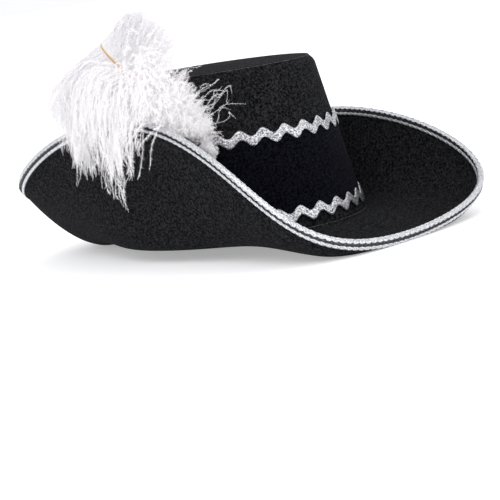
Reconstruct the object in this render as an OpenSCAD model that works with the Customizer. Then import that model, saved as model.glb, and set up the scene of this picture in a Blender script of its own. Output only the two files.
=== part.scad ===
// Cavalier-style costume pirate hat: tapered felt crown, wide felt brim curled up at both
// sides, silver edge braid, velvet hat band between two silver rickracks, ostrich plume.
//
// Millimetres. +Z is up, -Y is the front, -X is the wearer's right, where the plume stands.
// The origin is on the plane that the hat rests on, under the centre of the head opening.

/* [Crown] */
// Outside width of the crown where it meets the brim
crown_width = 174; // [168:1:180]
// Outside length of the crown where it meets the brim
crown_length = 208; // [202:1:214]
// Height of the crown above the brim
crown_height = 124.5; // [118:0.5:130]
// How far each side of the crown leans in by the top
crown_side_lean = 18; // [14:1:20]
// How far the front and the back of the crown lean in by the top
crown_end_lean = 22; // [18:1:26]
// How far the top of the crown sits behind its base
crown_set_back = 3; // [0:1:5]
// Radius of the crown's top edge
top_radius = 7.5; // [6:0.5:10]
// Thickness of the felt
felt = 2.2; // [1.8:0.1:2.6]

/* [Brim] */
// Width of the brim over its turned-up sides
brim_width = 226; // [222:1:236]
// Length of the brim from front to back
brim_length = 364; // [354:2:374]
// Height of the rim at the wearer's right, the plume side
right_rim = 108; // [100:1:112]
// Height of the rim at the wearer's left
left_rim = 80; // [74:1:90]
// Height of the rim at the front
front_rim = 5; // [4:1:8]
// Height of the rim at the back
back_rim = 43; // [36:1:46]
// Height of the crown's root above the plane that the hat rests on
root_z = 10; // [9:0.5:11]
// How far the turned-up sides sit in front of the middle
flap_forward = 24; // [18:1:26]
// How square the outline of the brim is
squareness = 19; // [14:1:20]

/* [Trimming] */
// Width of the edge braid on each face of the brim
braid_width = 4.5; // [4:0.5:6]
// Thickness of the edge braid
braid_thick = 0.9; // [0.7:0.1:1.1]
// Height of the lower rickrack's centre line above the crown's root
lower_line = 14; // [13:1:16]
// Height of the upper rickrack's centre line above the crown's root
upper_line = 74; // [70:1:76]
// Width of the rickrack tape
rickrack_width = 7.5; // [6.5:0.5:8]
// Height of the rickrack's waves, from the centre line to a crest
rickrack_wave = 2.5; // [2:0.5:3]
// Number of waves round the upper rickrack
upper_waves = 30; // [28:1:32]
// Number of waves round the lower rickrack
lower_waves = 33; // [31:1:35]
// Height of the sweatband inside the crown
sweatband_height = 30; // [25:1:35]

/* [Plume] */
// Length of the bare quill in its tack loops
quill_length = 52; // [48:1:56]
// Radius of the quill
quill_r = 1.5; // [1.3:0.1:1.6]
// Half of the plume's greatest width
vane_reach = 42; // [36:1:46]
// Half of the plume's greatest thickness
vane_thick = 10; // [7:1:11]

/* [Hidden] */

steps = 90;
touch = 0.05;
band_thick = 0.9;
rickrack_thick = 1.2;
sweat_thick = 1.0;
wire_r = 0.75;
thread_r = 0.4;
groove_in = 0.9;
upper_crest = 0.6;
lower_crest = -1;
half_felt = felt / 2;

// --- small helpers ---

function unit(v) = v / norm(v);
function lift(p, z) = [p.x, p.y, p.z + z];
function smooth_max(a, b, k) = max(a, b) + pow(max(k - abs(a - b), 0), 2) / (4 * k);
function bezier3(p, s) =
    pow(1 - s, 3) * p[0] + 3 * pow(1 - s, 2) * s * p[1]
    + 3 * (1 - s) * s * s * p[2] + pow(s, 3) * p[3];

// The faces between successive closed rings of n points each. The last ring joins the first
// when wrap is true, and otherwise a fan closes each end.
function ring_faces(rings, n, wrap) = [
    for (k = [0 : wrap ? rings - 1 : rings - 2], i = [0 : n - 1], half = [0, 1])
        let (
            a = k * n + i,
            b = ((k + 1) % rings) * n + i,
            c = ((k + 1) % rings) * n + (i + 1) % n,
            d = k * n + (i + 1) % n
        )
        half == 0 ? [a, b, c] : [a, c, d]
];

// A solid whose cross-section loops are swept round the crown. Each section runs
// anticlockwise, seen with the outside of the hat to the right.
module hoop(sections) {
    turns = len(sections);
    n = len(sections[0]);
    points = [for (k = [0 : n - 1], i = [0 : turns - 1]) sections[i][k]];
    polyhedron(points = points, faces = ring_faces(n, turns, true), convexity = 10);
}

// A solid tube through rings along an open path, with flat ends.
module tube(rings) {
    n = len(rings[0]);
    last = len(rings) - 1;
    points = [for (r = rings, p = r) p];
    sides = [for (f = ring_faces(len(rings), n, false)) [f[0], f[2], f[1]]];
    ends = [[for (i = [n - 1 : -1 : 0]) i], [for (i = [0 : n - 1]) last * n + i]];
    polyhedron(points = points, faces = concat(sides, ends), convexity = 10);
}

// --- crown surface ---

// A point on the outside of the crown wall: t goes round from the wearer's left, h is the
// height above the root, out is the distance outside the felt.
function wall(t, h, out) =
    let (
        f = h / crown_height,
        a = crown_width / 2 - crown_side_lean * f,
        b = crown_length / 2 - crown_end_lean * f,
        n = unit([b * cos(t), a * sin(t)])
    )
    [a * cos(t) + out * n.x, b * sin(t) + out * n.y + crown_set_back * f, root_z + h];

// The crown's outline rings from the root to the top, each one inset by `in`.
function crown_rings(in) =
    let (shoulder = crown_height - top_radius)
    concat(
        [for (h = [-half_felt, shoulder / 2, shoulder]) [h, in]],
        [for (a = [22.5 : 22.5 : 90])
            [shoulder + (top_radius - in) * sin(a), in + (top_radius - in) * (1 - cos(a))]],
        [for (k = [1 : 3])
            [crown_height - in + 0.4 * k, top_radius + 17 * k]]
    );

function crown_ring(r) = [for (i = [0 : steps - 1]) wall(360 * i / steps, r[0], -r[1])];

module crown() {
    outer = [for (r = crown_rings(0)) crown_ring(r)];
    inner = [for (r = crown_rings(felt)) crown_ring(r)];
    m = len(outer);
    top = root_z + crown_height + 1.4;
    points = concat(
        [for (r = outer, p = r) p],
        [for (k = [m - 1 : -1 : 0], p = inner[k]) p],
        [[0, crown_set_back, top], [0, crown_set_back, top - felt]]
    );
    walls = [for (f = ring_faces(2 * m, steps, true))
        if (!(min(f) < m * steps && max(f) >= m * steps && min(f) >= (m - 1) * steps)) f];
    fan = [for (i = [0 : steps - 1]) let (j = (i + 1) % steps)
        [(m - 1) * steps + i, 2 * m * steps, (m - 1) * steps + j]];
    inner_fan = [for (i = [0 : steps - 1]) let (j = (i + 1) % steps)
        [m * steps + j, 2 * m * steps + 1, m * steps + i]];
    color("#242427")
        polyhedron(points = points, faces = concat(walls, fan, inner_fan), convexity = 10);
}

// --- brim surface ---

// The rim curve: t goes round from the wearer's left by way of the back.
function rim(t) =
    let (
        sides = (left_rim + right_rim) / 2,
        ends = (front_rim + back_rim) / 2,
        cock = (left_rim - right_rim) / 2,
        tail = (back_rim - front_rim) / 2
    )
    [(brim_width / 2 + squareness) * cos(t) - squareness * cos(3 * t),
     (brim_length / 2 + 7) * sin(t) + 7 * sin(3 * t) - 1 - flap_forward * pow(cos(t), 2),
     (sides + ends) / 2 - 4 + (sides - ends) / 2 * cos(2 * t) + 4 * cos(4 * t)
     + (tail + 1) * sin(t) + sin(3 * t)
     + cock * (0.7 * cos(t) + 0.3 * cos(3 * t)) - 3 * sin(2 * t)];

// The four control points of the brim's profile at t, from the crown's root to the rim. The
// back of the brim is drawn down so that the hat rests level on its front and its back, and
// the two back quarters climb straight out of the crown's root.
function profile(t) =
    let (
        root = [(crown_width / 2 + 0.3) * cos(t), (crown_length / 2 + 0.3) * sin(t), root_z],
        edge = rim(t),
        run = [edge.x - root.x, edge.y - root.y, 0],
        out = unit(run),
        reach = norm(run) + 0.6 * (edge.z - root_z),
        back = pow(max(0, sin(t)), 6),
        quarter = sin(t) > 0 ? pow(sin(2 * t), 2) : 0,
        first = root + out * reach * (0.285 + 0.15 * back - 0.1 * quarter)
            - [0, 0, 26 * back],
        rise = out * cos(76) + [0, 0, sin(76)],
        second = edge - rise * reach * (0.27 + 0.18 * back)
            + [0, 0, 0.22 * reach * quarter]
    )
    [root, first, second, edge];

// The middle of the felt. Where the profile would dip below the resting plane it lies flat.
function felt_mid(t, s) =
    let (p = bezier3(profile(t), s))
    [p.x, p.y, smooth_max(p.z, half_felt, 2)];

function felt_normal(t, s) =
    let (
        s0 = max(0, s - 0.01),
        s1 = min(1, s + 0.01),
        along = felt_mid(t + 0.5, s) - felt_mid(t - 0.5, s),
        across = felt_mid(t, s1) - felt_mid(t, s0)
    )
    unit(cross(across, along));

// A point at the side of the felt: up is positive on the brim's upper face.
function brim_point(t, s, up) = felt_mid(t, s) + felt_normal(t, s) * up;

// The place along the profile that lies `in` millimetres short of the rim. The first guess
// takes the profile's pace at the rim, and then the distance it gives mends it.
function near_rim(t, in) =
    let (p = profile(t))
    in <= 0 ? 1 : 1 - mended(t, in, in / (3 * norm(p[3] - p[2])), 4);

function mended(t, in, guess, times) =
    times == 0 ? guess :
    let (found = norm(felt_mid(t, 1) - felt_mid(t, 1 - guess)))
    mended(t, in, guess * pow(in / found, 0.75), times - 1);

// A point beyond the rim: out past the edge of the felt, up towards its upper face.
function past_rim(t, out, up) =
    let (p = profile(t))
    p[3] + unit(p[3] - p[2]) * out + felt_normal(t, 1) * up;

function brim_rows(t) =
    concat([for (k = [0 : 8]) near_rim(t, braid_width) * k / 8],
           [near_rim(t, braid_width / 2), 1]);

module brim() {
    sections = [for (i = [0 : steps - 1])
        let (t = 360 * i / steps, rows = brim_rows(t), m = len(rows))
        concat(
            [for (s = rows) brim_point(t, s, -half_felt)],
            [for (k = [m - 1 : -1 : 0]) brim_point(t, rows[k], half_felt)]
        )
    ];
    color("#242427") hoop(sections);
}

// --- edge trimming ---

module brim_wire() {
    joint = 0.6;
    ends = 90;
    rings = [for (i = [0 : ends])
        let (t = 90 + joint + (360 - 2 * joint) * i / ends)
        [for (a = [0 : 60 : 300])
            past_rim(t, wire_r + 0.1 + wire_r * cos(a), wire_r * sin(a))]];
    color("#8a8d90") tube(rings);
}

// A crimped sleeve over the two ends of the wire at the back of the hat.
module wire_joiner() {
    long = 8;
    at = past_rim(90, wire_r + 0.1, 0);
    color("#b8bbbe")
        translate(at)
            rotate([0, 90, 0])
                difference() {
                    cylinder(h = long, r = wire_r + 0.25, center = true, $fn = 24);
                    cylinder(h = long + 2, r = wire_r + 0.1, center = true, $fn = 24);
                }
}

// The braid is folded over the rim, and the wire lies in the fold.
module edge_braid() {
    near = half_felt + touch;
    far = near + braid_thick;
    fold = 2 * wire_r + 0.35;
    lines = [braid_width, braid_width / 2, 0];
    sections = [for (i = [0 : steps - 1])
        let (t = 360 * i / steps)
        concat(
            [for (d = lines) brim_point(t, near_rim(t, d), -far)],
            [past_rim(t, fold, -far + 0.3), past_rim(t, fold + braid_thick, 0),
             past_rim(t, fold, far - 0.3)],
            [for (k = [2 : -1 : 0]) brim_point(t, near_rim(t, lines[k]), far)],
            [for (d = lines) brim_point(t, near_rim(t, d), near)],
            [past_rim(t, fold, 0.8), past_rim(t, fold, -0.8)],
            [for (k = [2 : -1 : 0]) brim_point(t, near_rim(t, lines[k]), -near)]
        )
    ];
    color("#c9ccd2") hoop(sections);
}

// A thread line along the groove of the braid on each face of the brim.
module braid_stitching() {
    off = half_felt + touch + braid_thick + thread_r;
    color("#1c1c1f")
        for (side = [-1, 1])
            hoop([for (i = [0 : steps - 1])
                let (t = 360 * i / steps, s = near_rim(t, groove_in))
                [for (c = [[-1, -1], [1, -1], [1, 1], [-1, 1]])
                    brim_point(t, s + thread_r * c[0] / 120, side * off + thread_r * c[1])]]);
}

// --- crown trimming ---

// A band round the crown between two heights above the root.
module crown_hoop(low, high, in, out) {
    hoop([for (i = [0 : steps - 1])
        let (t = 360 * i / steps)
        [wall(t, low, out), wall(t, high, out), wall(t, high, in), wall(t, low, in)]]);
}

module hat_band() {
    color("#15161c") crown_hoop(lower_line, upper_line, touch, touch + band_thick);
}

module rickrack(line, waves, crest) {
    n = 8 * waves;
    in = 2 * touch + band_thick;
    hoop([for (i = [0 : n - 1])
        let (
            t = 360 * i / n,
            h = line + rickrack_wave * cos(waves * (t - crest)),
            low = h - rickrack_width / 2,
            high = h + rickrack_width / 2
        )
        [wall(t, low, in + rickrack_thick), wall(t, high, in + rickrack_thick),
         wall(t, high, in), wall(t, low, in)]]);
}

module upper_rickrack() {
    color("#c9ccd2") rickrack(upper_line, upper_waves, upper_crest);
}

module lower_rickrack() {
    color("#c9ccd2") rickrack(lower_line, lower_waves, lower_crest);
}

module sweatband() {
    in = -felt - touch;
    color("#2b2b2e")
        crown_hoop(-half_felt, sweatband_height - half_felt, in - sweat_thick, in);
}

// A thread line that holds the sweatband, just above its lower edge.
module sweatband_stitching() {
    in = -felt - touch - sweat_thick;
    color("#1c1c1f")
        crown_hoop(1.6, 2.4, in - 2 * thread_r, in - touch);
}

// --- plume ---

// Where the plume stands up from its quill, and the way the quill points.
plume_root = [-69.5, -49.5, 84];
plume_way = unit([-0.07, 0.3, 0.95]);
// The plume rises along one line with its flat face outwards, spreads its barbs along a
// second, and curls over the crown along a third.
plume_rise = unit([-0.37, 0.49, 0.79]);
plume_spread = unit(cross([-0.68, -0.72, 0.14], plume_rise));
plume_curl = cross(plume_spread, plume_rise);

function plume_at(rise, curl, wide) =
    plume_root + plume_rise * rise + plume_curl * curl + plume_spread * wide;

// Control points of the plume's shaft, from its root to its curled tip.
shaft_curve = [plume_root + plume_way * 1.9, plume_root + plume_way * 16,
               plume_at(147, -10, 17), plume_at(115, 38, -7), plume_at(92, 60, -11)];

function bezier4(p, s) =
    pow(1 - s, 4) * p[0] + 4 * pow(1 - s, 3) * s * p[1]
    + 6 * pow(1 - s, 2) * s * s * p[2] + 4 * (1 - s) * pow(s, 3) * p[3] + pow(s, 4) * p[4];

function shaft_at(s) = bezier4(shaft_curve, s);

function shaft_way(s) = unit(shaft_at(min(1, s + 0.01)) - shaft_at(max(0, s - 0.01)));

// A point beside the shaft: wide is in the plane of the plume, deep is across it.
function beside_shaft(s, wide, deep) =
    let (
        way = shaft_way(s),
        side = unit(plume_spread - way * (way * plume_spread)),
        face = cross(side, way)
    )
    shaft_at(s) + side * wide + face * deep;

// Lays its children along the quill, with +Z towards the plume.
module along_quill(from_root) {
    at = plume_root + plume_way * from_root;
    tilt = acos(plume_way.z);
    turn = atan2(plume_way.y, plume_way.x);
    translate(at)
        rotate([0, tilt, turn])
            children();
}

module quill() {
    color("#d9b77a")
        along_quill(-quill_length) {
            cylinder(h = 6, r1 = 0.5, r2 = quill_r, $fn = 24);
            translate([0, 0, 6])
                cylinder(h = quill_length - 6, r = quill_r, $fn = 24);
            translate([0, 0, quill_length])
                sphere(r = quill_r, $fn = 24);
        }
}

// Two loops of thread, sewn through the hat band, that the quill slides in.
module quill_tacks() {
    color("#1c1c1f")
        for (from_root = [-31, -44])
            along_quill(from_root)
                rotate_extrude($fn = 32)
                    translate([quill_r + 0.3 + thread_r, 0])
                        circle(r = thread_r, $fn = 16);
}

module plume_shaft() {
    rings = [for (k = [0 : 24])
        let (s = k / 24, r = 1.4 - 1.0 * s)
        [for (a = [0 : 45 : 315]) beside_shaft(s, r * cos(a), r * sin(a))]];
    color("#d9a860") tube(rings);
}

module plume_vane() {
    rings = [for (k = [0 : 16])
        let (
            s = 0.3 + 0.7 * k / 16,
            swell = sin(15 + 150 * k / 16)
        )
        [for (a = [0 : 22.5 : 337.5])
            beside_shaft(s, vane_reach * swell * (cos(a) + 0.2), vane_thick * swell * sin(a))]];
    color("#f4f4f6") tube(rings);
}

crown();
brim();
brim_wire();
wire_joiner();
edge_braid();
braid_stitching();
hat_band();
upper_rickrack();
lower_rickrack();
sweatband();
sweatband_stitching();
quill_tacks();
quill();
plume_shaft();
plume_vane();
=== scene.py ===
"""The looks of a cavalier-style costume pirate hat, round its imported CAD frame.

Shape functions work in millimetres in the part's own frame: +Z up, -Y the front of the
hat, -X the wearer's right, where the plume stands. They repeat the curves of part.scad, so
each piece lies where its CAD solid does. Meshes are in metres.
"""

import math

import bpy
import numpy as np
from mathutils import Matrix, Vector


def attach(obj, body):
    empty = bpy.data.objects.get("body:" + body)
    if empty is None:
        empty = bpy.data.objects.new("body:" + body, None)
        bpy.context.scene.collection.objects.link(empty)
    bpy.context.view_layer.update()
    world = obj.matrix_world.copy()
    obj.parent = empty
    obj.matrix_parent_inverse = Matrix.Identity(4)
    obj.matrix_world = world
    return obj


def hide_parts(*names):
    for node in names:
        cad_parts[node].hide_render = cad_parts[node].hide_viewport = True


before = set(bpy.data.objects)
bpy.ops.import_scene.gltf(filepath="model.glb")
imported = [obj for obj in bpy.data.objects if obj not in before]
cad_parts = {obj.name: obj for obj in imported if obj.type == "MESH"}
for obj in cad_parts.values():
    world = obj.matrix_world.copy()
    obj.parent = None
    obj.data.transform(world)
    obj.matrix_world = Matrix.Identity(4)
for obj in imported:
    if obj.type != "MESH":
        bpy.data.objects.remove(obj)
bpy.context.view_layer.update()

MM = 0.001

# ---------------------------------------------------------------- sizes, as in part.scad

CROWN_WIDTH, CROWN_LENGTH, CROWN_HEIGHT = 174, 208, 124.5
SIDE_LEAN, END_LEAN, SET_BACK = 18, 22, 3
TOP_RADIUS, FELT, ROOT_Z = 7.5, 2.2, 10
BRIM_WIDTH, BRIM_LENGTH = 226, 364
RIGHT_RIM, LEFT_RIM, FRONT_RIM, BACK_RIM = 108, 80, 5, 43
FLAP_FORWARD, SQUARENESS = 24, 19
BRAID_WIDTH, BRAID_THICK, GROOVE_IN, WIRE_R, WIRE_SLACK = 4.5, 0.9, 0.9, 0.75, 0.35
LOWER_LINE, UPPER_LINE = 14, 74
RICKRACK_WIDTH, RICKRACK_WAVE, UPPER_WAVES, LOWER_WAVES = 7.5, 2.5, 30, 33
UPPER_CREST, LOWER_CREST = math.radians(0.6), math.radians(-1)
BAND_THICK, RICKRACK_THICK, SWEAT_THICK, SWEAT_HEIGHT = 0.9, 1.2, 1.0, 30
PLUME_ROOT = np.array([-69.5, -49.5, 84.0])
TOUCH = 0.05
# The rim curve: how square its ends are, its shift to the front, the dip in its quarters and
# how far one diagonal stands above the other
END_SQUARENESS, RIM_SHIFT, QUARTER_DIP, RIM_SKEW = 7, 1, 4, 3
# The brim's profile: its gap to the crown, how far the back is drawn down, how softly it
# turns flat where it rests, and the angle at which it reaches the rim
BRIM_GAP, BACK_DROP, FLAT_BLEND, CLIMB = 0.3, 26, 2.0, math.radians(76)

# ---------------------------------------------------------------- sizes of the finer detail

# The pressed ridge round the crown's top edge: where it stands and how wide it is, both in
# degrees round the edge, and its height
RIDGE_ANGLE, RIDGE_SPREAD, RIDGE_HEIGHT = 58, 7, 0.6
TOP_RISE, TOP_SAG, TOP_REACH, TOP_RINGS, TOP_CENTRE_RISE = 1.2, 1.6, 51, 8, 1.4
COLLAR_HEIGHT, COLLAR_SHARE = 2.2, 0.035
CREASE_RADIUS, CREASE_UP, CREASE_OUT = 0.4, 0.35, 0.2
FOOT_CREASE_UP, FOOT_CREASE_OUT = 1.6, 0.9
# The braid's cords: what they leave bare at the braid's edge and on each side of its groove,
# and how far they and the backing stand off the braid's middle
EDGE_BARE, GROOVE_BARE, FOLD_BARE = 0.3, 0.5, 0.6
CORD_LIFT, BACKING_FACE, BACKING_BACK = 0.3, 0.1, -0.4
EYE_LENGTH, CORD_HALF_THICK, CORD_SIDES = 5.2, 0.36, 8
STITCH_PITCH, STITCH_LIFT, STITCH_SPAN = 3.4, 0.35, 0.75
STITCH_ARCH = [-0.7, 0.1, 0.3, 0.3, 0.1, -0.7]
BAND_WOBBLE = 0.5
PLAIT_LENGTH, EDGE_LOOP_LENGTH = 1.9, 1.3
SWEAT_STITCHES, SWEAT_STITCH_HEIGHT, SWEAT_RIB = 130, 2.0, 0.12
# Barbs: their radius at the root and the tip, the spread of their own curl, how much they
# follow what they slide over, how fast they drop outside the flap, and how many make a lock
BARB_ROOT_R, BARB_TIP_R, BARB_CURL = 0.17, 0.05, 0.006
BARB_SLIDE, BARB_DROP, LOCK_SIZE = 0.7, 0.05, 6
BARBULE_HALF, BARBULE_DROOP = 0.11, 0.12
SHAFT_TIP_R, SHAFT_GROWTH = 0.3, 1.1
# How many steps a mesh takes round the hat, and how many points a barb has
CROWN_TURNS, BRIM_TURNS, BACKING_TURNS, CORD_TURNS = 300, 420, 560, 1680
RICKRACK_TURNS, SWEAT_TURNS = 1800, 1200
BARB_STEPS, RIB_POINTS = 44, 20

TAU = 2 * math.pi
# Steps for slopes along the rim and across the brim, and how often a distance is mended
T_STEP, S_STEP, MENDS = 0.009, 0.01, 4


def unit(v):
    v = np.asarray(v, float)
    return v / np.linalg.norm(v, axis=-1, keepdims=True)


def mix(a, b, share):
    return a + (b - a) * share


# ---------------------------------------------------------------- crown and brim surfaces


def wall(t, h, out=0.0):
    """A point on the crown wall: t round from the wearer's left, h above the crown's root."""
    f = h / CROWN_HEIGHT
    a = CROWN_WIDTH / 2 - SIDE_LEAN * f
    b = CROWN_LENGTH / 2 - END_LEAN * f
    c, s = np.cos(t), np.sin(t)
    size = np.hypot(b * c, a * s)
    x = a * c + out * b * c / size
    y = b * s + out * a * s / size + SET_BACK * f
    return np.stack(np.broadcast_arrays(x, y, ROOT_Z + h), -1)


def rim(t):
    """The rim curve, which is the middle of the felt's edge."""
    sides, ends = (LEFT_RIM + RIGHT_RIM) / 2, (FRONT_RIM + BACK_RIM) / 2
    cock, tail = (LEFT_RIM - RIGHT_RIM) / 2, (BACK_RIM - FRONT_RIM) / 2
    x = (BRIM_WIDTH / 2 + SQUARENESS) * np.cos(t) - SQUARENESS * np.cos(3 * t)
    y = (BRIM_LENGTH / 2 + END_SQUARENESS) * np.sin(t) + END_SQUARENESS * np.sin(3 * t)
    y = y - RIM_SHIFT - FLAP_FORWARD * np.cos(t) ** 2
    z = (sides + ends) / 2 - QUARTER_DIP + (sides - ends) / 2 * np.cos(2 * t)
    z = z + QUARTER_DIP * np.cos(4 * t)
    z = z + (tail + 1) * np.sin(t) + np.sin(3 * t) - RIM_SKEW * np.sin(2 * t)
    z = z + cock * (0.7 * np.cos(t) + 0.3 * np.cos(3 * t))
    return np.stack([x, y, z], -1)


def profile(t):
    """The four control points of the brim's profile at t, from the crown's root to the rim."""
    a, b = CROWN_WIDTH / 2 + BRIM_GAP, CROWN_LENGTH / 2 + BRIM_GAP
    root = np.stack([a * np.cos(t), b * np.sin(t), ROOT_Z + 0 * t], -1)
    edge = rim(t)
    run = (edge - root) * [1, 1, 0]
    out = unit(run)
    reach = np.linalg.norm(run, axis=-1) + 0.6 * (edge[..., 2] - ROOT_Z)
    back = np.maximum(0, np.sin(t)) ** 6
    quarter = np.where(np.sin(t) > 0, np.sin(2 * t) ** 2, 0)
    up = np.array([0, 0, 1.0])
    first = root + out * (reach * (0.285 + 0.15 * back - 0.1 * quarter))[..., None]
    first = first - up * BACK_DROP * back[..., None]
    rise = out * math.cos(CLIMB) + up * math.sin(CLIMB)
    second = edge - rise * (reach * (0.27 + 0.18 * back))[..., None]
    second = second + up * (0.22 * reach * quarter)[..., None]
    return root, first, second, edge


def felt_mid(t, s):
    """The middle of the brim's felt. Where the profile would dip too low it lies flat."""
    t, s = np.broadcast_arrays(t, s)
    p0, p1, p2, p3 = profile(t)
    s = s[..., None]
    p = (1 - s) ** 3 * p0 + 3 * (1 - s) ** 2 * s * p1 + 3 * (1 - s) * s * s * p2 + s**3 * p3
    low = FELT / 2
    gap = np.maximum(FLAT_BLEND - np.abs(p[..., 2] - low), 0)
    p[..., 2] = np.maximum(p[..., 2], low) + gap**2 / (4 * FLAT_BLEND)
    return p


def brim_point(t, s, up=0.0):
    """A point on the brim at t and s, up above the middle of the felt on its upper face."""
    t, s, up = np.broadcast_arrays(t, s, up)
    along = felt_mid(t + T_STEP, s) - felt_mid(t - T_STEP, s)
    across = felt_mid(t, np.minimum(s + S_STEP, 1)) - felt_mid(t, np.maximum(s - S_STEP, 0))
    return felt_mid(t, s) + unit(np.cross(across, along)) * up[..., None]


def near_rim(t, inset):
    """The place s along the profile that lies `inset` millimetres short of the rim."""
    _, _, second, edge = profile(t)
    guess = inset / (3 * np.linalg.norm(edge - second, axis=-1))
    for _ in range(MENDS):
        found = np.linalg.norm(felt_mid(t, 1.0) - felt_mid(t, 1 - guess), axis=-1)
        guess = guess * (inset / np.maximum(found, 1e-9)) ** 0.75
    return 1 - guess


def past_rim(t, out, up):
    """A point beyond the rim: out past the edge of the felt, up towards its upper face."""
    _, _, second, edge = profile(t)
    e = unit(edge - second)
    along = felt_mid(t + T_STEP, 1.0) - felt_mid(t - T_STEP, 1.0)
    n = unit(np.cross(e, along))
    return edge + e * np.asarray(out)[..., None] + n * np.asarray(up)[..., None]


def even_turns(count):
    """count values of t, evenly spaced by length along the rim, and the rim's length."""
    t = np.linspace(0, TAU, 2001)
    steps = np.linalg.norm(np.diff(rim(t), axis=0), axis=1)
    run = np.concatenate([[0], np.cumsum(steps)])
    return np.interp(np.arange(count) / count * run[-1], run, t), run[-1]


# ---------------------------------------------------------------- mesh helpers


def mesh_object(name, verts, faces, material, smooth=True):
    """verts in millimetres; faces is a list of index arrays, one row per face."""
    verts = np.asarray(verts, np.float32).reshape(-1, 3) * MM
    mesh = bpy.data.meshes.new(name)
    mesh.vertices.add(len(verts))
    mesh.vertices.foreach_set("co", verts.ravel())
    faces = [np.asarray(f, np.int32) for f in faces if len(f)]
    loops = np.concatenate([f.ravel() for f in faces])
    sizes = np.concatenate([np.full(len(f), f.shape[1], np.int32) for f in faces])
    mesh.loops.add(len(loops))
    mesh.loops.foreach_set("vertex_index", loops)
    mesh.polygons.add(len(sizes))
    mesh.polygons.foreach_set("loop_start", np.concatenate([[0], np.cumsum(sizes)[:-1]]))
    mesh.polygons.foreach_set("use_smooth", np.full(len(sizes), smooth))
    mesh.update(calc_edges=True)
    mesh.validate()
    obj = bpy.data.objects.new(name, mesh)
    bpy.context.scene.collection.objects.link(obj)
    mesh.materials.append(material)
    return obj


def lattice_faces(rows, cols, wrap_rows, wrap_cols):
    """Quads over a rows by cols lattice of points."""
    r = np.arange(rows if wrap_rows else rows - 1)
    c = np.arange(cols if wrap_cols else cols - 1)
    r, c = np.meshgrid(r, c, indexing="ij")
    r1, c1 = (r + 1) % rows, (c + 1) % cols
    quads = np.stack([r * cols + c, r * cols + c1, r1 * cols + c1, r1 * cols + c], -1)
    return quads.reshape(-1, 4)


def tube_object(name, paths, wide, high, ups, material, sides=6):
    """Closed tubes along many paths of equal point count. paths is (n, k, 3), ups the way up
    at each point, wide and high the half sizes across ups and along it."""
    n, k, _ = paths.shape
    way = unit(np.gradient(paths, axis=1))
    side = unit(np.cross(way, np.broadcast_to(ups, paths.shape)))
    top = np.cross(side, way)
    a = TAU * np.arange(sides) / sides
    cos, sin = np.cos(a)[:, None], np.sin(a)[:, None]
    wide = np.broadcast_to(wide, (n, k))[..., None, None]
    high = np.broadcast_to(high, (n, k))[..., None, None]
    ring = side[:, :, None] * wide * cos + top[:, :, None] * high * sin
    verts = paths[:, :, None] + ring
    one = lattice_faces(k, sides, False, True)
    starts = np.arange(n)[:, None, None] * k * sides
    quads = (one[None] + starts).reshape(-1, 4)
    cap = np.arange(sides)[::-1]
    caps = np.concatenate([starts[:, 0] + cap, starts[:, 0] + (k - 1) * sides + cap[::-1]])
    return mesh_object(name, verts, [quads, caps], material)


def hoop_object(name, sections, material):
    """A closed ring through (turns, points) sections, each a closed loop."""
    turns, points, _ = sections.shape
    return mesh_object(name, sections, [lattice_faces(turns, points, True, True)], material)


# ---------------------------------------------------------------- materials


def set_inputs(node, values):
    for socket, value in values.items():
        node.inputs[socket].default_value = value


def principled(name, color, roughness):
    """A new material, its node tree and its shader."""
    material = bpy.data.materials.new(name)
    material.use_nodes = True
    shader = material.node_tree.nodes["Principled BSDF"]
    set_inputs(shader, {"Base Color": (*color, 1), "Roughness": roughness})
    return material, material.node_tree, shader


def noise(tree, scale, detail, roughness=0.55):
    """Noise in the object's own space. scale is in features per metre."""
    coords = tree.nodes.new("ShaderNodeTexCoord")
    node = tree.nodes.new("ShaderNodeTexNoise")
    set_inputs(node, {"Scale": scale, "Detail": detail, "Roughness": roughness})
    tree.links.new(coords.outputs["Object"], node.inputs["Vector"])
    return node.outputs["Fac"]


NOISE_LOW, NOISE_HIGH = 0.3, 0.7


def ramp(tree, source, low, high, start=NOISE_LOW, end=NOISE_HIGH):
    """A colour that runs from low to high as source runs from start to end."""
    node = tree.nodes.new("ShaderNodeValToRGB")
    first, last = node.color_ramp.elements
    first.position, first.color = start, (*low, 1)
    last.position, last.color = end, (*high, 1)
    tree.links.new(source, node.inputs["Fac"])
    return node.outputs["Color"]


def blend_colors(tree, mode, a, b, share):
    """Colour b laid over colour a in a blend mode, by a share from 0 to 1."""
    node = tree.nodes.new("ShaderNodeMix")
    node.data_type = "RGBA"
    node.blend_type = mode
    node.inputs["Factor"].default_value = share
    tree.links.new(a, node.inputs["A"])
    tree.links.new(b, node.inputs["B"])
    return node.outputs["Result"]


def spread(tree, source, low, high):
    """A number that runs from low to high over the range that noise mostly keeps to."""
    node = tree.nodes.new("ShaderNodeMapRange")
    set_inputs(node, {"From Min": NOISE_LOW, "From Max": NOISE_HIGH})
    set_inputs(node, {"To Min": low, "To Max": high})
    tree.links.new(source, node.inputs["Value"])
    return node.outputs["Result"]


def bump(tree, shader, height, depth_mm, strength=1.0):
    node = tree.nodes.new("ShaderNodeBump")
    set_inputs(node, {"Distance": depth_mm * MM, "Strength": strength})
    tree.links.new(height, node.inputs["Height"])
    tree.links.new(node.outputs["Normal"], shader.inputs["Normal"])


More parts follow.
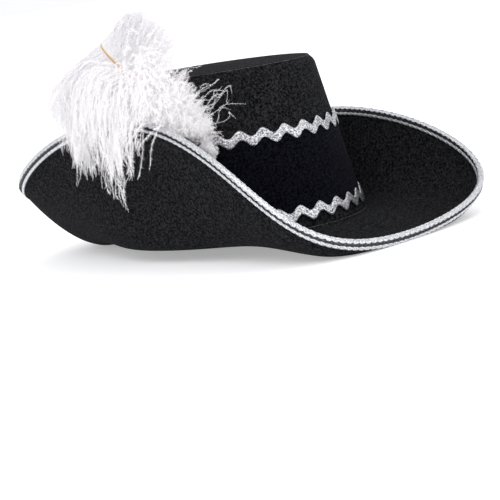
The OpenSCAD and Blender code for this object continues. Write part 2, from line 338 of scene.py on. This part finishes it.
def felt_material(name, dark, light):
    """Pressed wool: mottled, with a fine nap of crossing fibres."""
    material, tree, shader = principled(name, dark, 0.95)
    set_inputs(shader, {"Sheen Weight": 0.02, "Sheen Roughness": 0.45})
    set_inputs(shader, {"Sheen Tint": (0.55, 0.56, 0.6, 1), "Specular IOR Level": 0.03})
    mottle = noise(tree, 560, 5, 0.8)
    nap = noise(tree, 1500, 6, 0.75)
    mottled = ramp(tree, mottle, dark, light, 0.43, 0.62)
    napped = ramp(tree, nap, (0.25, 0.25, 0.26), (1, 1, 1), 0.36, 0.6)
    color = blend_colors(tree, "MULTIPLY", mottled, napped, 0.8)
    tree.links.new(color, shader.inputs["Base Color"])
    fibres = ramp(tree, nap, (0, 0, 0), (0.6, 0.6, 0.6))
    lumps = ramp(tree, mottle, (0, 0, 0), (0.5, 0.5, 0.5))
    bump(tree, shader, blend_colors(tree, "ADD", fibres, lumps, 1), 0.5, 0.8)
    return material


def silver_material(name, dark, light, roughness, grain):
    """Metallic yarn: bright threads with dark gaps between them."""
    material, tree, shader = principled(name, light, roughness)
    set_inputs(shader, {"Metallic": 0.85})
    flecks = noise(tree, grain, 3, 0.6)
    color = ramp(tree, flecks, dark, light, 0.38, 0.6)
    tree.links.new(color, shader.inputs["Base Color"])
    polish = spread(tree, noise(tree, grain * 1.7, 2), 0.2, 0.5)
    tree.links.new(polish, shader.inputs["Roughness"])
    bump(tree, shader, flecks, 0.25, 0.7)
    return material


def thread_material(name, dark, light, roughness=0.8):
    """A plain fibre or horn, lightly mottled from dark to light."""
    material, tree, shader = principled(name, dark, roughness)
    color = ramp(tree, noise(tree, 2200, 3), dark, light)
    tree.links.new(color, shader.inputs["Base Color"])
    bump(tree, shader, noise(tree, 2600, 2), 0.1)
    return material


FELT_BLACK = felt_material("felt", (0.0006, 0.0006, 0.0008), (0.041, 0.0415, 0.046))
# Paler felt for the crease rings: a painted highlight along the pressed lines
FELT_PAINTED_HIGHLIGHT = felt_material("felt_painted_highlight", (0.03, 0.03, 0.033), (0.15, 0.15, 0.16))
VELVET = felt_material("velvet", (0.0004, 0.0004, 0.001), (0.011, 0.0112, 0.019))
SILVER_BRAID = silver_material("silver_braid", (0.30, 0.30, 0.32), (0.86, 0.87, 0.9), 0.3, 1500)
LUREX = silver_material("rickrack", (0.07, 0.07, 0.08), (0.72, 0.72, 0.75), 0.3, 900)
BLACK_THREAD = thread_material("black_thread", (0.006, 0.006, 0.007), (0.03, 0.03, 0.032))
GROSGRAIN = thread_material("grosgrain", (0.012, 0.012, 0.014), (0.045, 0.045, 0.05))
QUILL_HORN = thread_material("quill_horn", (0.42, 0.20, 0.05), (0.74, 0.46, 0.16), 0.35)
BRAID_BACKING = silver_material(
    "braid_backing", (0.02, 0.02, 0.022), (0.12, 0.12, 0.13), 0.45, 1800
)
STEEL_WIRE = silver_material("steel_wire", (0.35, 0.35, 0.36), (0.6, 0.6, 0.62), 0.4, 900)


def plume_material(name, color, glow):
    """White down. glow stands for the light that passes on through many thin barbs."""
    material, _, shader = principled(name, color, 0.8)
    set_inputs(shader, {"Sheen Weight": 0.1, "Specular IOR Level": 0.2})
    set_inputs(shader, {"Emission Color": (1, 0.98, 1, 1), "Emission Strength": glow})
    return material


OSTRICH = plume_material("ostrich", (0.87, 0.86, 0.875), 0.085)
# A lighter, more glowing copy of the down for barbs deep in the plume, near its root and hanging
# over the rim: painted light against the shade they lie in
OSTRICH_BRIGHTENED = plume_material("ostrich_brightened", (0.91, 0.895, 0.905), 0.11)


def dress(obj, body, slot, *nodes):
    """Makes a piece ride on a body and hides the CAD nodes it stands for. slot is not used."""
    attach(obj, body)
    if nodes:
        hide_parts(*nodes)
    return obj


# ---------------------------------------------------------------- crown


def crown_profile():
    """(height above the root, inset from the wall line) up the wall and over the top. The
    felt stands up in a fine pressed ridge where the wall has turned into the top."""
    shoulder = CROWN_HEIGHT - TOP_RADIUS
    rows = [(h, 0.0) for h in np.linspace(-FELT / 2, shoulder, 48)]
    for a in np.radians(np.linspace(4, 90, 30)):
        past_ridge = (math.degrees(a) - RIDGE_ANGLE) / RIDGE_SPREAD
        reach = TOP_RADIUS + RIDGE_HEIGHT * math.exp(-(past_ridge**2))
        rows.append((shoulder + reach * math.sin(a), TOP_RADIUS - reach * math.cos(a)))
    for k in range(1, TOP_RINGS + 1):
        share = k / TOP_RINGS
        height = CROWN_HEIGHT + TOP_RISE * share - TOP_SAG * share * (1 - share)
        rows.append((height, TOP_RADIUS + TOP_REACH * share))
    return rows


def make_crown():
    """The crown's outside and inside as rings, closed at the top by two fans."""
    turns = CROWN_TURNS
    t = np.linspace(0, TAU, turns, endpoint=False)
    rows = crown_profile()
    outer = [wall(t, h, -inset) for h, inset in rows]
    inner = []
    for h, inset in reversed(rows):
        drop = FELT * min(1.0, max(0.0, (h - CROWN_HEIGHT + TOP_RADIUS) / TOP_RADIUS))
        inner.append(wall(t, h - drop, -inset - (FELT if inset < TOP_RADIUS else 0.0)))
    rings = np.array(outer + inner)
    count, top = len(rings), len(outer)
    faces = lattice_faces(count, turns, True, True)
    bridge = (faces.min(1) >= (top - 1) * turns) & (faces.max(1) < (top + 1) * turns)
    centre_z = ROOT_Z + CROWN_HEIGHT + TOP_CENTRE_RISE
    centres = np.array([[0, SET_BACK, centre_z], [0, SET_BACK, centre_z - FELT]])
    verts = np.concatenate([rings.reshape(-1, 3), centres])
    i = np.arange(turns)
    j = (i + 1) % turns
    last = (top - 1) * turns
    fan = np.stack([last + i, last + j, np.full(turns, count * turns)], -1)
    under = np.stack([top * turns + j, top * turns + i, np.full(turns, count * turns + 1)], -1)
    obj = mesh_object("crown_felt", verts, [faces[~bridge], fan, under], FELT_BLACK)
    dress(obj, "hat", "felt", "crown")


# ---------------------------------------------------------------- brim


def make_brim():
    """The brim. Its inner edge is pressed up into a low collar round the foot of the crown."""
    t = np.linspace(0, TAU, BRIM_TURNS, endpoint=False)[:, None]
    s = np.concatenate([np.linspace(0, 0.04, 9), np.linspace(0.06, 1, 42)])[None]
    collar = COLLAR_HEIGHT * np.clip(1 - s / COLLAR_SHARE, 0, 1) ** 2
    lower = brim_point(t, s, -FELT / 2)
    upper = brim_point(t, s, FELT / 2 + collar)[:, ::-1]
    obj = hoop_object("brim_felt", np.concatenate([lower, upper], 1), FELT_BLACK)
    dress(obj, "hat", "felt", "brim")


def make_crease(name, h, out):
    """A fine pressed line round the crown: a thin ring of paler felt, a painted highlight where
    the line catches the light.
    """
    t = np.linspace(0, TAU, CROWN_TURNS, endpoint=False)[:, None]
    a = TAU * np.arange(6)[None] / 6
    ring = wall(t, h + CREASE_RADIUS * np.sin(a), out + CREASE_RADIUS * np.cos(a))
    obj = hoop_object(name, ring, FELT_PAINTED_HIGHLIGHT)
    dress(obj, "hat", "felt")


make_crown()
make_brim()
RIDGE = math.radians(RIDGE_ANGLE)
make_crease(
    "crown_crease",
    CROWN_HEIGHT - TOP_RADIUS * (1 - math.sin(RIDGE)) + CREASE_UP,
    -TOP_RADIUS * (1 - math.cos(RIDGE)) + CREASE_OUT,
)
make_crease("foot_crease", FELT / 2 + FOOT_CREASE_UP, FOOT_CREASE_OUT)


# ---------------------------------------------------------------- edge braid

FACE_GAP = FELT / 2 + TOUCH + BRAID_THICK / 2
FOLD_OUT = 2 * WIRE_R + WIRE_SLACK + BRAID_THICK / 2
FOLD_RUN = math.pi * math.sqrt((FOLD_OUT**2 + FACE_GAP**2) / 2)
BRAID_RUN = 2 * BRAID_WIDTH + FOLD_RUN


def braid_point(t, u, lift=0.0):
    """A point on the folded braid: u runs across it from its edge on the brim's underside,
    round the rim, to its edge on the upper face. lift is out from the braid's middle."""
    t, u, lift = np.broadcast_arrays(np.asarray(t, float), u, lift)
    turn = np.clip((u - BRAID_WIDTH) / FOLD_RUN, 0, 1) * math.pi
    beyond = (FOLD_OUT + lift) * np.sin(turn)
    over = -(FACE_GAP + lift) * np.cos(turn)
    inset = np.maximum(BRAID_WIDTH - u, u - BRAID_WIDTH - FOLD_RUN).clip(0)
    flat = brim_point(t, near_rim(t, inset), over)
    fold = past_rim(t, beyond, over)
    return np.where((inset > 0)[..., None], flat, fold)


def make_braid():
    """A three-ply silver braid: two flat cords cross each other along each ply, and dark
    backing shows in the eyes between them."""
    t, _ = even_turns(BACKING_TURNS)
    u = np.linspace(0, BRAID_RUN, 15)
    outer = braid_point(t[:, None], u[None], BACKING_FACE)
    inner = braid_point(t[:, None], u[None, ::-1], BACKING_BACK)
    backing = hoop_object("braid_backing", np.concatenate([outer, inner], 1), BRAID_BACKING)
    dress(backing, "hat", "silver_braid", "edge_braid")

    t, run = even_turns(CORD_TURNS)
    eyes = 2 * round(run / EYE_LENGTH / 2)
    phase = math.pi * eyes * np.arange(len(t)) / len(t)
    groove = BRAID_WIDTH - GROOVE_IN
    edge_ply = (EDGE_BARE, groove - GROOVE_BARE)
    plies = [
        edge_ply,
        (groove + FOLD_BARE, BRAID_WIDTH + FOLD_RUN + GROOVE_IN - FOLD_BARE),
        (BRAID_RUN - edge_ply[1], BRAID_RUN - edge_ply[0]),
    ]
    paths, ups, wides = [], [], []
    for k, (low, high) in enumerate(plies):
        cord = (high - low) / 4 + 0.12
        sway = (high - low) / 2 - cord
        in_fold = k == 1
        for side in (-1, 1):
            crossing = 0.8 + 0.2 * np.cos(2 * phase) if in_fold else np.cos(phase + k)
            u = (low + high) / 2 + side * sway * crossing
            lift = CORD_LIFT + side * (0.1 if in_fold else 0.2) * np.sin(phase + k)
            on = braid_point(t, u, lift)
            paths.append(on)
            ups.append(unit(braid_point(t, u, lift + 0.5) - on))
            wides.append(np.full(len(t), cord))
    closed = np.array([np.concatenate([p[-1:], p, p[:1]]) for p in paths])
    way = unit(closed[:, 2:] - closed[:, :-2])
    ups = np.array(ups)
    side = unit(np.cross(way, ups))
    ups = np.cross(side, way)
    angles = TAU * np.arange(CORD_SIDES) / CORD_SIDES
    cos, sin = np.cos(angles)[:, None], np.sin(angles)[:, None]
    wides = np.array(wides)[:, :, None, None]
    rings = np.array(paths)[:, :, None] + side[:, :, None] * wides * cos
    rings = rings + ups[:, :, None] * CORD_HALF_THICK * sin
    n, k = rings.shape[:2]
    one = lattice_faces(k, CORD_SIDES, True, True)
    faces = (one[None] + np.arange(n)[:, None, None] * k * CORD_SIDES).reshape(-1, 4)
    cords = mesh_object("braid_cords", rings, [faces], SILVER_BRAID)
    dress(cords, "hat", "silver_braid")


def make_braid_stitching():
    """Single stitches along the braid's groove on each face, each a short loop of thread."""
    _, run = even_turns(1)
    count = round(run / STITCH_PITCH)
    share = np.linspace(-0.5, 0.5, 6)
    lift = STITCH_LIFT + np.array(STITCH_ARCH)[None]
    starts, _ = even_turns(count)
    t = starts[:, None] + share * (TAU / count) * STITCH_SPAN
    paths, ups = [], []
    for u in (BRAID_WIDTH - GROOVE_IN, BRAID_WIDTH + FOLD_RUN + GROOVE_IN):
        on = braid_point(t, u, lift)
        paths.append(on)
        ups.append(braid_point(t, u, lift + 1) - on)
    paths, ups = np.concatenate(paths), np.concatenate(ups)
    obj = tube_object("braid_stitches", paths, 0.32, 0.28, ups, BLACK_THREAD)
    dress(obj, "hat", "thread", "braid_stitching")


make_braid()
make_braid_stitching()


# ---------------------------------------------------------------- trimming on the crown


def make_hat_band():
    """The velvet band round the crown. Its hand-sewn edges wander a little up and down."""
    t = np.linspace(0, TAU, BRIM_TURNS, endpoint=False)[:, None]
    share = np.linspace(0, 1, 24)[None]
    drift = BAND_WOBBLE * (np.sin(5 * t + 1) + 0.6 * np.sin(11 * t))
    h = LOWER_LINE + (UPPER_LINE - LOWER_LINE) * share + drift * (1 - 2 * share) * 0.5
    rounding = (2 * share - 1) ** 12 * BAND_THICK * 0.35
    face = wall(t, h, TOUCH + BAND_THICK - rounding)
    back = wall(t, h[:, ::-1], TOUCH + 0 * t)
    return hoop_object("velvet_band", np.concatenate([face, back], 1), VELVET)


def make_rickrack(name, line, waves, crest, node):
    """A wavy woven tape. Its crossed plait stands up in fine ribs, finer than its edges."""
    t = np.linspace(0, TAU, RICKRACK_TURNS, endpoint=False)[:, None]
    v = np.linspace(-1, 1, 13)[None]
    along = t * (CROWN_WIDTH + CROWN_LENGTH) / 4
    wave = RICKRACK_WAVE * np.cos(waves * (t - crest))
    ply = along / PLAIT_LENGTH
    plait = np.cos(TAU * (ply + 0.9 * v)) * np.cos(TAU * (ply - 0.9 * v))
    scallop = 1 + 0.035 * np.cos(TAU * along / EDGE_LOOP_LENGTH)
    h = line + wave + v * RICKRACK_WIDTH / 2 * scallop
    inner = 2 * TOUCH + BAND_THICK
    dome = RICKRACK_THICK * (1 - 0.45 * v**6) + 0.14 * plait * (1 - v**4)
    face = wall(t, h, inner + dome)
    back = wall(t, h[:, ::-1], inner + 0 * t)
    obj = hoop_object(name, np.concatenate([face, back], 1), LUREX)
    return dress(obj, "hat", "silver_braid", node)


def make_sweatband():
    """A ribbed tape inside the crown, held by a row of stitches above its lower edge."""
    inner = -FELT - TOUCH - SWEAT_THICK
    t = np.linspace(0, TAU, SWEAT_TURNS, endpoint=False)[:, None]
    share = np.linspace(0, 1, 9)[None]
    h = -FELT / 2 + SWEAT_HEIGHT * share
    ribs = SWEAT_RIB * np.cos(np.arange(SWEAT_TURNS)[:, None] * math.pi)
    face = wall(t, h, inner + 0.15 + ribs)
    back = wall(t, h[:, ::-1], -FELT - TOUCH + 0 * t)
    tape = hoop_object("sweatband_tape", np.concatenate([back, face], 1), GROSGRAIN)
    dress(tape, "hat", "sweatband_tape", "sweatband")
    t = (np.arange(SWEAT_STITCHES)[:, None] + np.linspace(0, 0.7, 6)) * TAU / SWEAT_STITCHES
    depth = inner + np.array([0.5, -0.2, -0.35, -0.35, -0.2, 0.5])
    path = wall(t, SWEAT_STITCH_HEIGHT, depth)
    ups = wall(t, SWEAT_STITCH_HEIGHT, depth - 1) - path
    seam = tube_object("sweatband_stitches", path, 0.35, 0.3, ups, BLACK_THREAD)
    dress(seam, "hat", "thread", "sweatband_stitching")
    return tape


band = make_hat_band()
dress(band, "hat", "velvet", "hat_band")
upper_rickrack = make_rickrack(
    "rickrack_upper", UPPER_LINE, UPPER_WAVES, UPPER_CREST, "upper_rickrack"
)
lower_rickrack = make_rickrack(
    "rickrack_lower", LOWER_LINE, LOWER_WAVES, LOWER_CREST, "lower_rickrack"
)
sweatband = make_sweatband()

for node, material, slot in (
    ("quill", QUILL_HORN, "quill"),
    ("quill_tacks", BLACK_THREAD, "thread"),
    ("brim_wire", STEEL_WIRE, "wire"),
    ("wire_joiner", STEEL_WIRE, "wire"),
):
    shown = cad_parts[node]
    shown.data.materials.clear()
    shown.data.materials.append(material)


# ---------------------------------------------------------------- plume

PLUME_WAY = unit([-0.07, 0.3, 0.95])
PLUME_RISE = unit([-0.37, 0.49, 0.79])
PLUME_SPREAD = unit(np.cross([-0.68, -0.72, 0.14], PLUME_RISE))
PLUME_CURL = np.cross(PLUME_SPREAD, PLUME_RISE)
SHAFT_CURVE = [
    PLUME_ROOT + PLUME_WAY * 1.9,
    PLUME_ROOT + PLUME_WAY * 16,
    PLUME_ROOT + PLUME_RISE * 147 - PLUME_CURL * 10 + PLUME_SPREAD * 17,
    PLUME_ROOT + PLUME_RISE * 115 + PLUME_CURL * 38 - PLUME_SPREAD * 7,
    PLUME_ROOT + PLUME_RISE * 92 + PLUME_CURL * 60 - PLUME_SPREAD * 11,
]
DOWN = np.array([0, 0, -1.0])


def shaft_at(s):
    """A point on the shaft, s from its root to its tip."""
    s = np.asarray(s, float)[..., None]
    r = 1 - s
    share = [r**4, 4 * r**3 * s, 6 * r**2 * s**2, 4 * r * s**3, s**4]
    return sum(w * p for w, p in zip(share, SHAFT_CURVE))


def shaft_frame(s):
    """The shaft's way, the side its barbs spread to, and the way its face looks."""
    way = unit(shaft_at(np.minimum(s + 0.01, 1)) - shaft_at(np.maximum(s - 0.01, 0)))
    side = unit(PLUME_SPREAD - way * (way @ PLUME_SPREAD)[..., None])
    return way, side, np.cross(way, side)


# The rim of the turned-up side beside the plume, from its front to its back
FLAP = rim(np.radians(np.linspace(240, 120, 121)))
# How far barbs keep off the crown's wall and its top, and how deep its shoulder reaches
WALL_CLEAR, TOP_CLEAR, SHOULDER_DEPTH = 3.0, 2.5, 8
# The trough between crown and flap: barbs lie on a floor that climbs from its inner edge
# over the rim
TROUGH_EDGE, FLOOR_X, FLOOR_Z = -72, -74, 80
RIM_CLEAR, RIM_PAST = 4.5, 3.5


def clear_of_hat(p):
    """Moves points that would lie in the crown or in the turned-up flap out of it. Tells too
    which of them hang outside the flap."""
    h = p[:, 2] - ROOT_Z
    f = np.clip(h / CROWN_HEIGHT, 0, 1)
    a = CROWN_WIDTH / 2 - SIDE_LEAN * f + WALL_CLEAR
    b = CROWN_LENGTH / 2 - END_LEAN * f + WALL_CLEAR
    y = p[:, 1] - SET_BACK * f
    q = np.hypot(p[:, 0] / a, y / b)
    low = (q < 1) & (h < CROWN_HEIGHT - SHOULDER_DEPTH)
    grow = np.where(low, 1 / np.maximum(q, 0.3), 1)
    p = np.stack([p[:, 0] * grow, y * grow + SET_BACK * f, p[:, 2]], -1)
    over = (q < 1) & ~low
    p[over, 2] = np.maximum(p[over, 2], ROOT_Z + CROWN_HEIGHT + TOP_CLEAR)
    rim_x = np.interp(p[:, 1], FLAP[:, 1], FLAP[:, 0])
    rim_z = np.interp(p[:, 1], FLAP[:, 1], FLAP[:, 2])
    share = np.clip((FLOOR_X - p[:, 0]) / (FLOOR_X - rim_x + 2), 0, 1)
    floor = FLOOR_Z + (rim_z + RIM_CLEAR - FLOOR_Z) * share**0.8
    inside = (p[:, 0] > rim_x - RIM_PAST) & (p[:, 0] < TROUGH_EDGE)
    p[:, 2] = np.where(inside, np.maximum(p[:, 2], floor), p[:, 2])
    outside = (p[:, 0] <= rim_x - RIM_PAST) & (p[:, 0] < TROUGH_EDGE)
    return p, outside


def grow_barbs(start, way, length, weight, curl):
    """Barbs as paths: each sets out along way, bends under its weight and by its own curl
    (a turn per millimetre, as a vector), and slides over whatever it meets."""
    p, d = start.copy(), unit(way)
    step = (length / BARB_STEPS)[:, None]
    path = [p]
    for k in range(BARB_STEPS):
        share = k / BARB_STEPS
        heavy = (weight * (0.5 + share))[:, None]
        d = unit(d + (DOWN * heavy + curl * (0.4 + share)) * step)
        following, outside = clear_of_hat(p + d * step)
        moved = unit(following - p)
        d = unit(mix(d, moved, BARB_SLIDE))
        d[outside] = unit(d[outside] + DOWN * BARB_DROP * step[outside])
        p = following
        path.append(p)
    return np.stack(path, 1)


def thin_out(path, count):
    """The same paths with fewer points."""
    at = np.linspace(0, path.shape[1] - 1, count)
    low = np.floor(at).astype(int).clip(0, path.shape[1] - 2)
    return mix(path[:, low], path[:, low + 1], (at - low)[None, :, None])


def make_down(name, paths, length, rng, gap, barbule, plume):
    """Fine barbules all along each barb, as slender blades that stand out round it."""
    count = int(np.mean(length) / gap)
    at = (np.arange(count) + rng.random((len(paths), count))) / count
    at = at.clip(0, 0.9999) * (paths.shape[1] - 1)
    low = at.astype(int)
    row = np.arange(len(paths))[:, None]
    here = mix(paths[row, low], paths[row, low + 1], (at - low)[..., None])
    way = unit(paths[row, low + 1] - paths[row, low])
    around = rng.normal(size=here.shape)
    around = unit(around - way * (around * way).sum(-1, keepdims=True))
    share = at / (paths.shape[1] - 1)
    reach = barbule * rng.uniform(0.6, 1.2, share.shape) * np.sqrt(np.clip(share * 9 + 0.2, 0, 1))
    reach = (reach * np.clip((1.02 - share) * 9, 0.25, 1))[..., None]
    lean = rng.uniform(0.35, 0.9, share.shape)[..., None]
    tip = here + unit(around + way * lean) * reach + DOWN * BARBULE_DROOP * reach
    half = unit(np.cross(way, around)) * BARBULE_HALF + way * BARBULE_HALF
    verts = np.stack([here - half, here + half, tip], 2).reshape(-1, 3)
    faces = np.arange(len(verts)).reshape(-1, 3)
    obj = mesh_object(name, verts, [faces], plume, smooth=False)
    dress(obj, "plume", "feather")


def gather(paths, pull):
    """Neighbouring barbs cling together in locks towards their tips."""
    lock = np.arange(len(paths)) // LOCK_SIZE
    middle = np.stack([paths[lock == k].mean(0) for k in range(lock[-1] + 1)])[lock]
    share = np.linspace(0, 1, paths.shape[1])[None, :, None] ** 1.5
    return mix(paths, middle, pull * share)


def ripple(paths, rng, height):
    """Barbs wander more and more from their smooth line towards their tips."""
    share = np.linspace(0, 1, paths.shape[1])[None, :, None]
    each = (len(paths), 1, 1)
    turn = rng.uniform(2, 4, each) * share * TAU / 2
    turn = turn + rng.uniform(0, TAU, each)
    across = rng.normal(size=(2, len(paths), 1, 3)) * height
    return paths + (across[0] * np.sin(turn) + across[1] * np.cos(turn * 1.7)) * share


def make_barb_group(
    name,
    s,
    lean,
    length,
    weight,
    rng,
    gap=0.3,
    barbule=2.3,
    scatter=0.18,
    loose=1.0,
    clump=0.5,
    height=0.7,
    plume=OSTRICH,
):
    """Barbs that leave the shaft at each s, and the down along them. lean is (to the side,
    towards the tip, out of the plume's face) for each barb. scatter spreads the leans, and
    loose how much of that is out of the face. gap is the millimetres of barb to a barbule,
    barbule a barbule's length, clump how much barbs cling together, height how far they
    wander."""
    way, side, face = shaft_frame(s)
    lean = lean + rng.normal(size=lean.shape) * scatter * np.array([1, 1, loose])
    out = side * lean[:, :1] + way * lean[:, 1:2] + face * lean[:, 2:]
    start = shaft_at(s) + unit(out) * 0.4
    curl = rng.normal(size=start.shape) * BARB_CURL
    paths = ripple(gather(grow_barbs(start, out, length, weight, curl), clump), rng, height)
    ribs = thin_out(paths, RIB_POINTS)
    taper = np.linspace(BARB_ROOT_R, BARB_TIP_R, RIB_POINTS)
    ups = rng.normal(size=(len(s), 1, 3))
    obj = tube_object(name, ribs, taper, taper, ups, plume, sides=3)
    dress(obj, "plume", "feather")
    make_down(name + "_down", paths, length, rng, gap, barbule, plume)
    return obj


def make_plume():
    """An ostrich plume: a horn shaft, long soft barbs that droop from both of its sides and
    hang over the rim, and short curly down round its root."""
    rng = np.random.default_rng(11)
    s = np.linspace(0, 1, 60)
    _, _, face = shaft_frame(s)
    thick = SHAFT_TIP_R + SHAFT_GROWTH * (1 - s) ** 1.6
    path = shaft_at(s)[None]
    shaft = tube_object("horn_shaft", path, thick, thick, face[None], QUILL_HORN, sides=10)
    dress(shaft, "plume", "quill", "plume_shaft")

    def group(name, count, low, high, lean, length, weight, shortest=0.8, **extra):
        """count barbs between s = low and s = high. length is (values of s, the length at
        each), and a barb may be as little as the share shortest of it."""
        s = np.sort(rng.uniform(low, high, count))
        lengths = np.interp(s, *length) * rng.uniform(shortest, 1.12, count)
        weights = weight * rng.uniform(0.7, 1.3, count)
        leans = np.repeat([lean], count, 0).astype(float)
        return make_barb_group(name, s, leans, lengths, weights, rng, **extra)

    outward = ([0.2, 0.5, 0.7, 1], [86, 84, 72, 32])
    inward = ([0, 0.2, 0.3, 0.4], [10, 26, 42, 56])
    crest = ([0.34, 0.5, 0.6], [52, 46, 36])
    tip = ([0.58, 0.7, 0.85, 1], [44, 38, 32, 22])
    lowest = ([0, 0.1, 0.25], [20, 50, 84])
    across = ([0.2, 0.3, 0.5], [80, 114, 108])
    cover = ([0.08, 0.2, 0.38], [22, 44, 64])
    fountain = ([0, 0.1, 0.2, 0.3, 0.45], [12, 18, 26, 38, 60])
    root = ([0, 0.1, 0.2], [14, 20, 24])
    tuft, stray = ([0, 1], [18, 18]), ([0, 1], [40, 40])
    wisp = ([0, 0.2, 0.45], [32, 50, 76])
    combed = {"loose": 0.3, "clump": 0.3}
    # Hanging barbs take the brightened down: painted light against their shade
    hanging = {"scatter": 0.25, "plume": OSTRICH_BRIGHTENED}
    first = group(
        "barbs_outward", 430, 0.18, 0.98, (0.95, 0.3, 0.0), outward, 0.016,
        scatter=0.1, loose=0.3,
    )
    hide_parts("plume_vane")
    group(
        "barbs_tip", 220, 0.58, 0.98, (-0.95, 0.25, 0.0), tip, 0.011,
        shortest=0.75, scatter=0.14, **combed,
    )
    group(
        "barbs_crest", 280, 0.34, 0.6, (-0.93, 0.36, 0.0), crest, 0.012,
        shortest=0.75, scatter=0.18, **combed,
    )
    # The inward and low barbs take the brightened down too: painted light against the shade deep
    # in the plume and near its root
    group(
        "barbs_inward", 200, 0.05, 0.38, (-0.95, 0.28, 0.0), inward, 0.011,
        shortest=0.7, scatter=0.14, plume=OSTRICH_BRIGHTENED, **combed,
    )
    group(
        "barbs_low", 120, 0.05, 0.22, (0.6, 0.75, 0.15), lowest, 0.014,
        scatter=0.12, loose=0.5, plume=OSTRICH_BRIGHTENED,
    )
    group(
        "barbs_across", 170, 0.2, 0.46, (0.5, 0.3, 0.6), across, 0.026,
        shortest=0.45, clump=0.75, height=1.6, **hanging,
    )
    group(
        "barbs_cover", 230, 0.08, 0.38, (-0.1, 0.2, 0.9), cover, 0.035,
        shortest=0.6, clump=0.5, height=1.2, **hanging,
    )
    group(
        "barbs_over", 260, 0.06, 0.42, (-0.6, 0.1, 0.6), fountain, 0.042,
        shortest=0.6, clump=0.3, height=1.0, **hanging,
    )
    group(
        "root_down", 60, 0.0, 0.14, (-0.55, 0.3, 0.4), root, 0.004,
        scatter=0.7, barbule=2.0, height=2.0,
    )
    group(
        "root_tuft", 80, 0.0, 0.05, (0.0, -0.9, 0.6), tuft, 0.06,
        scatter=0.4, barbule=2.0,
    )
    group(
        "stray_tuft", 12, 0.2, 0.24, (0.35, -0.3, 0.7), stray, 0.03,
        scatter=0.1, clump=0.8, barbule=1.8,
    )
    group(
        "wisps", 30, 0.08, 0.42, (-0.9, -0.1, 0.3), wisp, 0.012,
        shortest=0.6, scatter=0.3, clump=0.4, gap=0.4, barbule=1.5, height=2.2,
    )


make_plume()


# ---------------------------------------------------------------- stage, light and camera


FLOOR_RADIUS, FLOOR_DROP = 40, 0.0002
LIT_PLACE = (0, 0, 0.08)


def make_stage():
    """A wide pale floor just under the hat, in an even white surround."""
    material, _, shader = principled("pale_floor", (0.9, 0.9, 0.91), 0.8)
    set_inputs(shader, {"Emission Color": (1, 1, 1, 1), "Emission Strength": 0.35})
    bpy.ops.mesh.primitive_circle_add(
        vertices=96, radius=FLOOR_RADIUS, fill_type="NGON", location=(0, 0, -FLOOR_DROP)
    )
    floor = bpy.context.object
    floor.name = "floor"
    floor.data.materials.append(material)
    world = bpy.data.worlds.new("studio")
    world.use_nodes = True
    background = world.node_tree.nodes["Background"]
    set_inputs(background, {"Color": (0.98, 0.985, 1.0, 1), "Strength": 1.0})
    bpy.context.scene.world = world
    bpy.context.scene.view_settings.view_transform = "Standard"


def area_light(name, place, size, power):
    light = bpy.data.lights.new(name, "AREA")
    light.size = size
    light.energy = power
    obj = bpy.data.objects.new(name, light)
    obj.location = place
    aim = Vector(LIT_PLACE) - Vector(place)
    obj.rotation_euler = aim.to_track_quat("-Z", "Y").to_euler()
    bpy.context.scene.collection.objects.link(obj)


CAMERA_AZIMUTH, CAMERA_ELEVATION, CAMERA_ROLL = -43, 8, -9.2
CAMERA_DISTANCE, CAMERA_LENS, CAMERA_SENSOR = 1.4, 129, 36
CAMERA_AIM = Vector((0, -0.0035, -0.0103))


def make_camera():
    """Looks at the hat from its front right, a little above, with the crown leaning left."""
    a, e, r = (math.radians(x) for x in (CAMERA_AZIMUTH, CAMERA_ELEVATION, CAMERA_ROLL))
    back = Vector((math.sin(a) * math.cos(e), -math.cos(a) * math.cos(e), math.sin(e)))
    place = Vector((0, 0, ROOT_Z * MM)) + back * CAMERA_DISTANCE
    back = (place - CAMERA_AIM).normalized()
    right = Vector((0, 0, 1)).cross(back).normalized()
    up = back.cross(right)
    right, up = right * math.cos(r) + up * math.sin(r), up * math.cos(r) - right * math.sin(r)
    camera = bpy.data.cameras.new("camera")
    camera.lens = CAMERA_LENS
    camera.sensor_width = CAMERA_SENSOR
    obj = bpy.data.objects.new("camera", camera)
    obj.matrix_world = Matrix.Translation(place) @ Matrix((right, up, back)).transposed().to_4x4()
    bpy.context.scene.collection.objects.link(obj)
    bpy.context.scene.camera = obj


make_stage()
area_light("key_light", (-1.3, -0.9, 1.5), 1.2, 11)
area_light("front_light", (0.5, -1.9, 0.9), 1.4, 7)
area_light("rim_light", (1.6, 0.6, 1.2), 1.0, 6)
make_camera()
